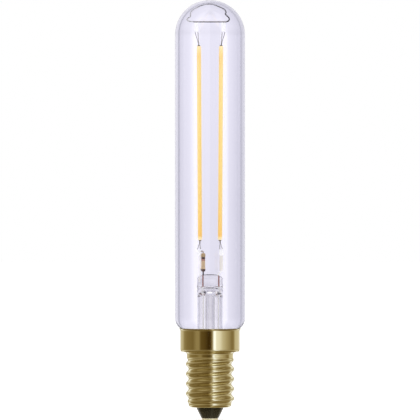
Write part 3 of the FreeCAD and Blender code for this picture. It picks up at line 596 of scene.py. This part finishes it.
def make_resistor_material():
    """Colour bands on a tan body, from the lower end up."""
    low, high = (corner.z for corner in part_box("left_resistor"))
    body = Shader("resistor_body", (0.6, 0.45, 0.3), 0.0, 0.3)
    tan = (0.62, 0.43, 0.20)
    pale = (0.88, 0.64, 0.37)
    pink = (0.62, 0.30, 0.22)
    brown = (0.10, 0.04, 0.02)
    stops = ((0.0, brown), (0.13, brown), (0.16, pale), (0.56, pale), (0.6, pink), (0.66, pink),
             (0.69, brown), (0.76, brown), (0.8, tan), (0.95, tan), (1.0, pale))
    body.drive(body.ramp(body.along(low, high), stops), "Base Color")


# Glass envelope, blown in one piece
def shoulder_inside(centre):
    """The inner side of the shoulder, from the tube down. The wall thins towards the neck."""
    outline = []
    for step in range(FINE_STEPS + 1):
        share = step / FINE_STEPS
        angle = math.radians(-SHOULDER_TURN * share)
        bend = SHOULDER_RADIUS - GLASS_WALL + (GLASS_WALL - SHOULDER_WALL) * share ** 2
        outline.append((centre + bend * math.cos(angle), SHOULDER_HEIGHT + bend * math.sin(angle)))
    return outline


def build_envelope():
    low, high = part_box("glass_envelope")
    outer = high.x
    inner = outer - GLASS_WALL
    bore = NECK_RADIUS - GLASS_WALL
    centre = outer - SHOULDER_RADIUS
    outline = arc(0, high.z - DOME_WALL - inner, inner, 90, 0, DOME_STEPS)
    outline += shoulder_inside(centre)
    outline += [(bore, SEAL_TOP + GLASS_WALL), (bore, low.z)]
    outline += [(NECK_RADIUS, low.z), (NECK_RADIUS, NECK_TOP)]
    outline += arc(centre, SHOULDER_HEIGHT, SHOULDER_RADIUS, -SHOULDER_TURN, 0, BEND_STEPS)
    outline += arc(0, high.z - outer, outer, 0, 90, DOME_STEPS)
    material = finishes["clear_glass"]
    return lathe("glass_tube", outline, material, ["glass_envelope"], sides=GLASS_SIDES, sharp=50)


# Stem: flare, pinch and press, with the hollow under them
def stem_ring(width, depth, power, z):
    """One level of the stem: an ellipse, squared off by a power above 2."""
    ring = []
    for step in range(STEM_SIDES):
        angle = TURN * step / STEM_SIDES
        x = math.copysign(abs(math.cos(angle)) ** (2 / power), math.cos(angle))
        y = math.copysign(abs(math.sin(angle)) ** (2 / power), math.sin(angle))
        ring.append(Vector((width / 2 * x, depth / 2 * y, z)))
    return ring


def flare_radius(z, straight, rim, foot):
    return straight + (rim - straight) * max(0.0, (FLARE_TOP - z) / (FLARE_TOP - foot)) ** 2


def stem_inside(rim, foot):
    """Levels down the inside: the hollow's arch, its way out to the round tube, and the flare."""
    hollow = STEM_RADIUS - STEM_WALL
    springing = CAVITY_TOP - CAVITY_ARCH
    rings = []
    for step in range(BEND_STEPS + 1):
        angle = step / BEND_STEPS * math.pi / 2
        open_part = max(math.sin(angle), HOLLOW_END)
        z = springing + CAVITY_ARCH * math.cos(angle)
        rings.append(stem_ring(CAVITY_WIDTH * open_part, CAVITY_DEPTH * open_part, HOLLOW_POWER, z))
    for step in range(1, BEND_STEPS + 1):
        share = step / BEND_STEPS
        width = between(CAVITY_WIDTH, hollow * 2, math.sqrt(share))
        depth = between(CAVITY_DEPTH, hollow * 2, eased(share))
        z = between(springing, PINCH_FOOT, share)
        rings.append(stem_ring(width, depth, between(HOLLOW_POWER, 2, share), z))
    rings += [circle(hollow, PINCH_FOOT - HOLD, STEM_SIDES), circle(hollow, FLARE_TOP + HOLD, STEM_SIDES)]
    for step in range(1, FINE_STEPS + 1):
        z = between(FLARE_TOP, foot, step / FINE_STEPS)
        rings.append(circle(flare_radius(z, hollow, rim - SEAL_EDGE, foot), z, STEM_SIDES))
    return rings


def stem_outside(rim, top):
    """Levels up the outside: the flare, the round tube, the pinch, and the arched head of the press."""
    tube = STEM_RADIUS
    rings = []
    for step in range(FINE_STEPS + 1):
        z = between(SEAL_TOP, FLARE_TOP, step / FINE_STEPS)
        rings.append(circle(flare_radius(z, tube, rim, SEAL_TOP), z, STEM_SIDES))
    rings += [circle(tube, FLARE_TOP + HOLD, STEM_SIDES), circle(tube, PINCH_FOOT - HOLD, STEM_SIDES)]
    for step in range(BEND_STEPS + 1):
        share = step / BEND_STEPS
        width = between(tube * 2, PRESS_WIDTH, share)
        depth = between(tube * 2, PRESS_DEPTH, eased(share))
        z = between(PINCH_FOOT, PRESS_FOOT, share)
        rings.append(stem_ring(width, depth, between(2, PRESS_POWER, share), z))
    for step in range(FINE_STEPS + 1):
        share = step / FINE_STEPS
        angle = share * math.pi / 2
        full_part = max(math.cos(angle), PRESS_END)
        z = top - PRESS_ARCH + PRESS_ARCH * math.sin(angle)
        power = between(PRESS_POWER, HOLLOW_POWER, share)
        rings.append(stem_ring(PRESS_WIDTH * full_part, PRESS_DEPTH * full_part, power, z))
    return rings


def build_stem():
    low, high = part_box("flare_stem")
    vertices, faces = rings_mesh(stem_inside(high.x, low.z) + stem_outside(high.x, high.z))
    return mesh_piece("stem", vertices, faces, finishes["stem_glass"], ["flare_stem"], sharp=55)


def build_exhaust_tube():
    """Sealed below by a thick round tip, and wider where it is fused to the press."""
    low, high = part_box("exhaust_tube")
    outer = high.x
    bore = TUBE_BORE / 2
    outline = [(radius * MM, low.z + rise * MM) for radius, rise in BORE_END]
    outline += [(bore * wider, TUBE_JOINT - below * MM) for wider, below in JOINT_BORE]
    outline += [(outer * wider, TUBE_JOINT - below * MM) for wider, below in JOINT_SKIN]
    outline += arc(0, low.z + outer, outer, 0, -90, BEND_STEPS)
    material = finishes["tube_glass"]
    return lathe("exhaust_glass", outline, material, ["exhaust_tube"], sides=64, sharp=40)


# Filaments
def build_filament(side, sign):
    """The phosphor coat, as a straight rod with softly rounded ends."""
    node = side + "_filament_coat"
    low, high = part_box(node)
    length = high.z - low.z
    end = []
    for step in range(EDGE_STEPS + 1):
        angle = step / EDGE_STEPS * math.pi / 2
        radius = COAT_RADIUS - COAT_EDGE + COAT_EDGE * math.sin(angle)
        end.append((COAT_EDGE * (1 - math.cos(angle)), radius))
    line = []
    radii = []
    for along, radius in end + [(length - along, radius) for along, radius in reversed(end)]:
        x = between(COAT_FOOT, COAT_HEAD, along / length) * sign
        line.append(Vector((x, 0, low.z + along)))
        radii.append(radius)
    return swept(side + "_filament", line, radii, finishes["phosphor"], [node], sides=40, sharp=60)


# End tabs: a broad strip, and two legs that meet at the filament
def prism(polygon, half):
    """Vertices and faces of a flat plate about y = 0."""
    count = len(polygon)
    vertices = [(x, side, z) for side in (-half, half) for x, z in polygon]
    faces = [tuple(range(count)), tuple(range(2 * count - 1, count - 1, -1))]
    for number in range(count):
        onward = (number + 1) % count
        faces.append((number, number + count, onward + count, onward))
    return vertices, faces


def build_tab(node, sign, tip, broad_from, tip_x, broad_x):
    """A tab between its tip at the filament and its far end; heights and places are the CAD's."""
    low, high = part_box(node)
    far = high.z if tip < broad_from else low.z
    strip = TAB_WIDTH / 2
    root = TAB_NECK / 2
    fork = between(tip, broad_from, TAB_FORK_SHARE)
    fork_x = between(tip_x, broad_x, TAB_FORK_SHARE)
    outlines = [
        ((tip_x - root, tip), (tip_x + root, tip), (fork_x + root, fork), (fork_x - root, fork)),
        ((fork_x - root, fork), (fork_x, fork), (broad_x - strip + TAB_LEG, broad_from),
         (broad_x - strip, broad_from)),
        ((fork_x, fork), (fork_x + root, fork), (broad_x + strip, broad_from),
         (broad_x + strip - TAB_LEG, broad_from)),
        ((broad_x - strip, broad_from), (broad_x + strip, broad_from), (broad_x + strip, far),
         (broad_x - strip, far)),
    ]
    vertices = []
    faces = []
    for outline in outlines:
        corners, sides = prism([(x * sign, z) for x, z in outline], TAB_HALF_DEPTH)
        faces += [tuple(number + len(vertices) for number in side) for side in sides]
        vertices += corners
    return mesh_piece(node + "_fork", vertices, faces, finishes["tab_steel"], [node], sharp=30)


def build_tabs():
    coat_low, coat_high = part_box("right_filament_coat")
    foot = coat_low.z - CARRIER_END
    head = coat_high.z + CARRIER_END
    for side, sign in (("left", -1), ("right", 1)):
        build_tab(side + "_top_tab", sign, head, TOP_STRIP_FOOT, COAT_HEAD, TOP_STRIP)
        build_tab(side + "_base_tab", sign, foot, BASE_STRIP_HEAD, COAT_FOOT, BASE_STRIP)


# Spring loop and banded resistor
def build_spring_loop():
    path = smooth_path([(x * MM, 0, z * MM) for x, z in LOOP_ROUTE], ROUTE_STEPS)
    radii = [LOOP_RADIUS] * len(path)
    material = finishes["spring_steel"]
    return swept("top_spring", path, radii, material, ["spring_loop"], sides=16, sharp=50)


def build_resistor():
    """A dipped resistor: a waist between two fuller ends."""
    low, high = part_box("left_resistor")
    radius = (high.x - low.x) / 2
    middle = (low.x + high.x) / 2
    waist = RESISTOR_WAIST / radius
    profile = ((0.0, 0.45), (0.02, 0.75), (0.06, 0.95), (0.12, 1.0), (0.2, 0.97), (0.27, waist),
               (0.5, waist), (0.73, waist), (0.8, 0.97), (0.88, 1.0), (0.94, 0.95), (0.98, 0.75),
               (1.0, 0.45))
    line = [Vector((middle, 0, between(low.z, high.z, share))) for share, _ in profile]
    radii = [radius * part for _, part in profile]
    material = finishes["resistor_body"]
    return swept("banded_resistor", line, radii, material, ["left_resistor"], sides=32, sharp=60)


# Brass cap shell
def thread_ring(z):
    """One level of the threaded wall: a circle whose centre runs round the axis."""
    start = eased((z - THREAD_FOOT) / THREAD_FADE)
    finish = eased((THREAD_TOP - z) / THREAD_FADE)
    mean = (THREAD_MAJOR + THREAD_MINOR) / 4
    radius = mean + (THREAD_MINOR / 2 - mean) * (1 - start) + (CAP_NECK - mean) * (1 - finish)
    swing = (THREAD_MAJOR - THREAD_MINOR) / 4 * start * finish
    turn = TURN * (z - CREST_HEIGHT) / THREAD_PITCH
    ring = []
    for step in range(SHELL_SIDES):
        angle = TURN * step / SHELL_SIDES
        reach = radius + swing * math.cos(angle - turn)
        ring.append(Vector((reach * math.cos(angle), reach * math.sin(angle), z)))
    return ring


def build_cap_shell():
    """The outside from the rim down, round the turned-in lip. Its inner side stays open and unseen."""
    low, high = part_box("cap_shell")
    inner = SKIRT_RADIUS - SHEET
    corner = SKIRT_CORNER
    fillet = CAP_NECK_FILLET
    lip = THREAD_FOOT - low.z
    outline = [(inner, SKIRT_FOOT + corner)]
    outline += [(inner + out * MM, high.z - down * MM) for out, down in RIM_ROUTE]
    outline += arc(SKIRT_RADIUS - corner, SKIRT_FOOT + corner, corner, 0, -90, CORNER_STEPS)
    outline += arc(CAP_NECK + fillet, SKIRT_FOOT - fillet, fillet, 90, 180, CORNER_STEPS)
    foot = arc(THREAD_MINOR / 2 - lip, THREAD_FOOT, lip, -LIP_TURN, -90, CORNER_STEPS)
    foot += [(LIP_RADIUS, low.z), (LIP_RADIUS, low.z + SHEET)]
    rings = [circle(radius, z, SHELL_SIDES) for radius, z in held_straight(outline)]
    rings += [thread_ring(between(THREAD_TOP, THREAD_FOOT, level / THREAD_LEVELS))
              for level in range(THREAD_LEVELS + 1)]
    rings += [circle(radius, z, SHELL_SIDES) for radius, z in foot]
    vertices, faces = rings_mesh(rings[::-1], False, False)
    return mesh_piece("brass_shell", vertices, faces, finishes["cap_brass"], ["cap_shell"], sharp=60)


def build_insulator():
    low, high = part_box("cap_insulator")
    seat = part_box("cap_shell")[0].z
    lip = LIP_RADIUS - LIP_GAP
    outline = [(SHANK_RADIUS, low.z), (INSULATOR_TIP - TIP_EDGE, low.z)]
    outline += [(INSULATOR_TIP, low.z + TIP_EDGE_HEIGHT)]
    outline += [(INSULATOR_TOP - INSULATOR_DRAFT, seat - INSULATOR_BAND), (INSULATOR_TOP, seat)]
    outline += [(lip, seat + INSULATOR_STEP), (lip, seat + SHEET), (high.x, seat + SHEET)]
    outline += [(high.x, high.z), (SHANK_RADIUS, high.z)]
    material = finishes["black_glass"]
    return lathe("insulator", outline, material, ["cap_insulator"], sides=96, sharp=40, closed=True)


def build_contact():
    low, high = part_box("centre_contact")
    edge = CONTACT_EDGE
    outline = [(SHANK_BORE, low.z + CONTACT_DIMPLE_DEPTH), (SHANK_BORE + CONTACT_DIMPLE, low.z)]
    outline += arc(high.x - edge, low.z + edge, edge, -90, 0, EDGE_STEPS)
    outline += [(high.x, CONTACT_THICKNESS), (SHANK_RADIUS, CONTACT_THICKNESS)]
    outline += [(SHANK_RADIUS, high.z), (SHANK_BORE, high.z)]
    material = finishes["contact_brass"]
    return lathe("contact", outline, material, ["centre_contact"], sides=64, sharp=40, closed=True)


# Pieces that show as they are in the CAD
def paint_cad_nodes():
    """They take the material of their slot, or their own one with painted light."""
    for name, node in nodes.items():
        if node.hide_render:
            continue
        material = finishes[WIRES_WITH_PAINTED_LIGHT.get(name, slot_of(name))]
        node.data.materials.clear()
        node.data.materials.append(material)


# Studio
def neutral(level):
    return (level, level, level)


def cool(level):
    """The studio round the glass is faintly lavender."""
    red = level * 0.985
    green = level * 0.97
    blue = level ** 0.87 * 1.04
    return (red, green, blue)


def warm(level):
    """Dim surroundings look warmer in brass than bright ones."""
    green = level ** 1.22
    blue = level ** 1.85
    return (level, green, blue)


def dimmed(colour):
    """A ramp holds no more than 1, so colours are shares of the brightest."""
    return tuple(part / BRIGHTEST for part in colour)


def round_stops(levels, tone):
    """Ramp stops round the part."""
    return [((degrees + 180) / 360, dimmed(tone(level))) for degrees, level in levels]


def fade_stops(levels, tone=neutral):
    """Ramp stops from straight down to straight up."""
    return [((slope + 1) / 2, tone(level)) for slope, level in levels]


class Studio(Nodes):
    """What a ray meets outside the part, by its kind and its direction."""

    def __init__(self, tree):
        super().__init__(tree)
        split = self.node("SeparateXYZ")
        self.link(self.node("TexCoord").outputs["Generated"], split.inputs[0])
        self.right = split.outputs["X"]
        self.near = self.reckon("MULTIPLY", split.outputs["Y"], -1.0)
        self.up = split.outputs["Z"]
        self.rise = self.spread(self.up, -1.0, 1.0)
        self.azimuth = self.whole_turn(self.reckon("ARCTAN2", self.right, self.near))
        self.path = self.node("LightPath").outputs

    def whole_turn(self, angle):
        """An angle of minus to plus half a turn, as 0 to 1."""
        return self.reckon("ADD", self.reckon("DIVIDE", angle, TURN), 0.5)

    def times(self, colour, factor):
        return self.mix(1.0, colour, factor, "MULTIPLY")

    def through_glass(self):
        """The same all round the line of sight, and plain for rays that go down."""
        angle = self.reckon("ARCCOSINE", self.near)
        ring = self.whole_turn(self.reckon("MULTIPLY", angle, self.reckon("SIGN", self.right)))
        side = self.ramp(ring, round_stops(THROUGH_STUDIO, cool))
        side = self.times(side, self.ramp(self.rise, fade_stops(GLASS_FADE)))
        below = self.spread(self.up, PLAIN_FROM, PLAIN_TO)
        return self.mix(below, side, (*dimmed(cool(PLAIN_LEVEL)), 1.0))

    def in_glass(self):
        return self.ramp(self.azimuth, round_stops(MIRRORED_STUDIO, cool))

    def in_brass(self):
        """One map round the level, another well above and below it."""
        level = self.ramp(self.azimuth, round_stops(BRASS_STUDIO, warm))
        steep = self.ramp(self.azimuth, round_stops(STEEP_STUDIO, warm))
        steep = self.times(steep, self.ramp(self.rise, fade_stops(STEEP_FADE, warm)))
        tilt = self.spread(self.reckon("ABSOLUTE", self.up), STEEP_FROM, STEEP_TO)
        return self.mix(tilt, level, steep)

    def on_matt(self):
        return self.times(self.ramp(self.rise, fade_stops(SOFT_FADE)), (*neutral(SOFT_LEVEL), 1.0))

    def seen(self):
        """White straight to the camera, and otherwise what suits the ray."""
        glass_side = self.mix(self.path["Is Transmission Ray"], self.in_glass(), self.through_glass())
        mirrored = self.mix(self.path["Is Singular Ray"], self.in_brass(), glass_side)
        mirrored = self.times(mirrored, (*neutral(BRIGHTEST), 1.0))
        scattered = self.reckon("GREATER_THAN", self.path["Diffuse Depth"], 0.5)
        unseen = self.mix(scattered, mirrored, self.on_matt())
        return self.mix(self.path["Is Camera Ray"], unseen, (1.0, 1.0, 1.0, 1.0))


def build_world():
    """White behind the part and mostly dark at the viewer's side, as glass and brass show it."""
    world = bpy.data.worlds.new("studio")
    bpy.context.scene.world = world
    world.use_nodes = True
    world.node_tree.nodes.clear()
    world.cycles.sampling_method = "NONE"
    studio = Studio(world.node_tree)
    background = studio.node("Background")
    studio.link(studio.seen(), background.inputs["Color"])
    studio.link(background.outputs["Background"], studio.node("OutputWorld").inputs["Surface"])


def make_floor_material():
    """Pale, with the part's shadow. Mirrored and transmitted rays go through it to the studio."""
    surface = Shader("floor", (0.8, 0.8, 0.8), 0.0, 0.9)
    surface.set(**{"Specular IOR Level": 0.0, "Emission Color": (1, 1, 1, 1)})
    path = surface.node("LightPath").outputs
    surface.drive(surface.spread(path["Diffuse Depth"], 0.0, 1.0, FLOOR_GLOW, 0.0), "Emission Strength")
    through = surface.node("MixShader")
    missed = surface.reckon("MAXIMUM", path["Is Glossy Ray"], path["Is Transmission Ray"])
    surface.link(missed, through.inputs["Fac"])
    surface.link(surface.surface.outputs["BSDF"], through.inputs[1])
    surface.link(surface.node("BsdfTransparent").outputs["BSDF"], through.inputs[2])
    surface.link(through.outputs["Shader"], surface.tree.nodes["Material Output"].inputs["Surface"])
    return surface.material


def build_floor():
    reach = FLOOR_REACH
    corners = [(-reach, -reach, 0), (reach, -reach, 0), (reach, reach, 0), (-reach, reach, 0)]
    mesh = bpy.data.meshes.new("floor")
    mesh.from_pydata(corners, [], [(0, 1, 2, 3)])
    mesh.materials.append(make_floor_material())
    floor = bpy.data.objects.new("floor", mesh)
    bpy.context.scene.collection.objects.link(floor)
    floor.location.z = -FLOOR_DROP
    floor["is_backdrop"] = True


def build_camera():
    low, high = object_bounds()
    middle = (low[2] + high[2]) / 2
    data = bpy.data.cameras.new("camera")
    data.sensor_width = SENSOR
    data.lens = SENSOR * CAMERA_DISTANCE / (high[2] - low[2])
    data.clip_start = CLIP_START
    camera = bpy.data.objects.new("camera", data)
    camera.location = (0, -CAMERA_DISTANCE, middle)
    camera.rotation_euler = (math.pi / 2, 0, 0)
    bpy.context.scene.collection.objects.link(camera)
    bpy.context.scene.camera = camera


make_materials()
build_envelope()
build_stem()
build_exhaust_tube()
build_filament("left", -1)
build_filament("right", 1)
build_tabs()
build_spring_loop()
build_resistor()
build_cap_shell()
build_insulator()
build_contact()
paint_cad_nodes()
build_world()
build_floor()
build_camera()
bpy.context.scene.view_settings.view_transform = "Standard"
